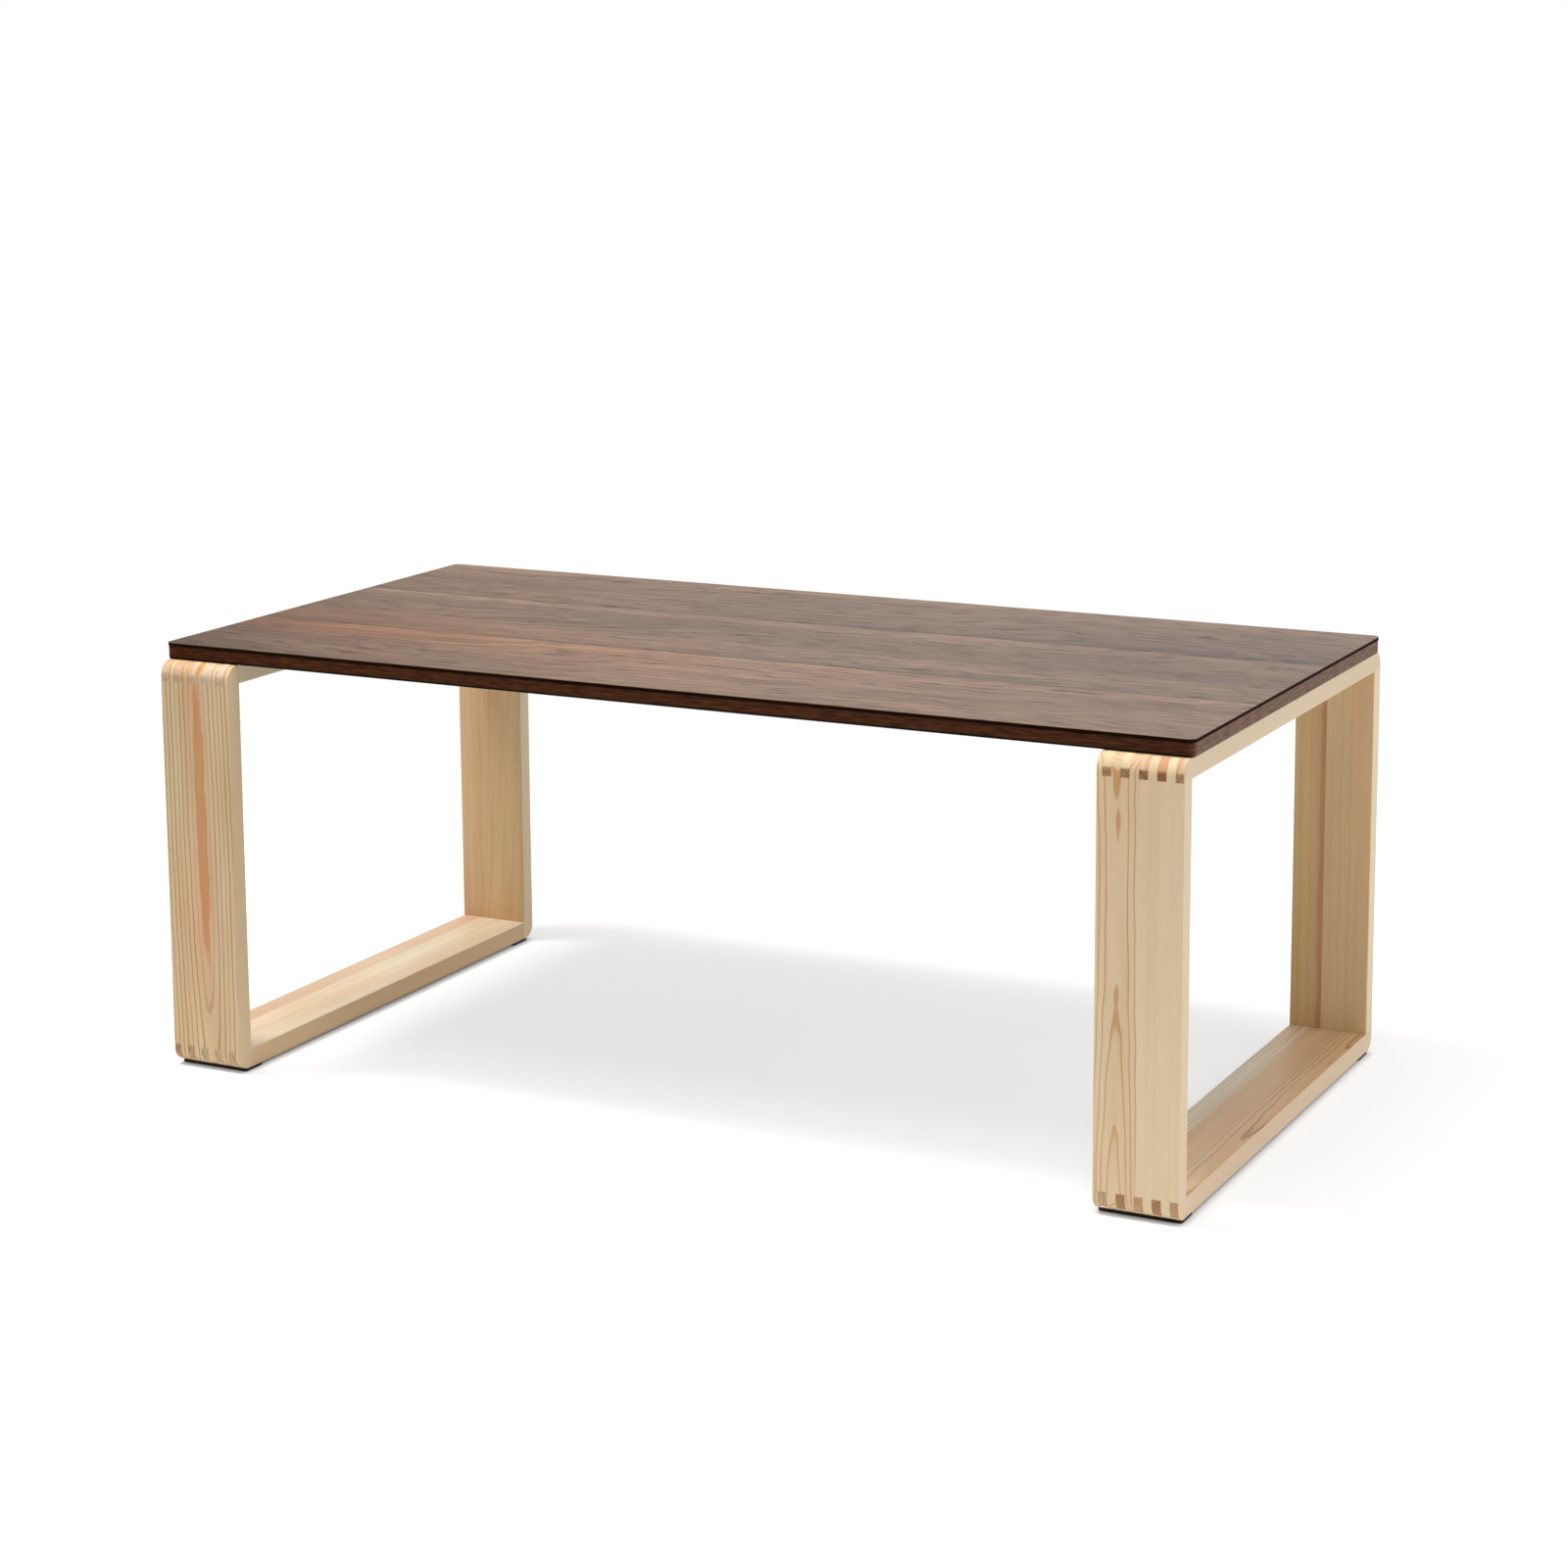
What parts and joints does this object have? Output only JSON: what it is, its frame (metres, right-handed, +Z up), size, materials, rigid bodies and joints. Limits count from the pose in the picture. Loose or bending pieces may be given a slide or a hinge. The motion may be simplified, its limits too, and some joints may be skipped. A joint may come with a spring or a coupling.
{
  "type": "coffee table",
  "caption": "Low rectangular coffee table with a dark wood-grain board top bolted to pale pine loop frames that have finger-jointed, rounded corners and thin black foot pads.",
  "frame": {"origin": "On the floor, under the middle of the table.", "axes": "+X along the table's length, +Y from front to rear, +Z up from the floor."},
  "size_m": [1, 0.525, 0.4],
  "materials": {
    "walnut_face": "satin walnut-grain laminate with a black edge line",
    "edge_band": "dark satin wood-grain edge band",
    "board_core": "raw pressed fibre board",
    "backing": "matt dark backing laminate",
    "pine": "satin clear lacquer on planed pine",
    "foot_pad": "matt black",
    "zinc_steel": "bright zinc plate",
    "insert_metal": "plain turned brass"
  },
  "bodies": {
    "root": {"top_face_sheet": "walnut_face", "top_edge_band": "edge_band", "top_core_board": "board_core", "top_backing_sheet": "backing", "left_front_post": "pine", "left_rear_post": "pine", "left_top_rail": "pine", "left_bottom_rail": "pine", "right_front_post": "pine", "right_rear_post": "pine", "right_top_rail": "pine", "right_bottom_rail": "pine", "left_front_pad": "foot_pad", "left_rear_pad": "foot_pad", "right_front_pad": "foot_pad", "right_rear_pad": "foot_pad", "left_bolt_1": "zinc_steel", "left_bolt_2": "zinc_steel", "left_bolt_3": "zinc_steel", "left_bolt_4": "zinc_steel", "right_bolt_1": "zinc_steel", "right_bolt_2": "zinc_steel", "right_bolt_3": "zinc_steel", "right_bolt_4": "zinc_steel", "left_washer_1": "zinc_steel", "left_washer_2": "zinc_steel", "left_washer_3": "zinc_steel", "left_washer_4": "zinc_steel", "right_washer_1": "zinc_steel", "right_washer_2": "zinc_steel", "right_washer_3": "zinc_steel", "right_washer_4": "zinc_steel", "left_insert_1": "insert_metal", "left_insert_2": "insert_metal", "left_insert_3": "insert_metal", "left_insert_4": "insert_metal", "right_insert_1": "insert_metal", "right_insert_2": "insert_metal", "right_insert_3": "insert_metal", "right_insert_4": "insert_metal"}
  },
  "joints": []
}
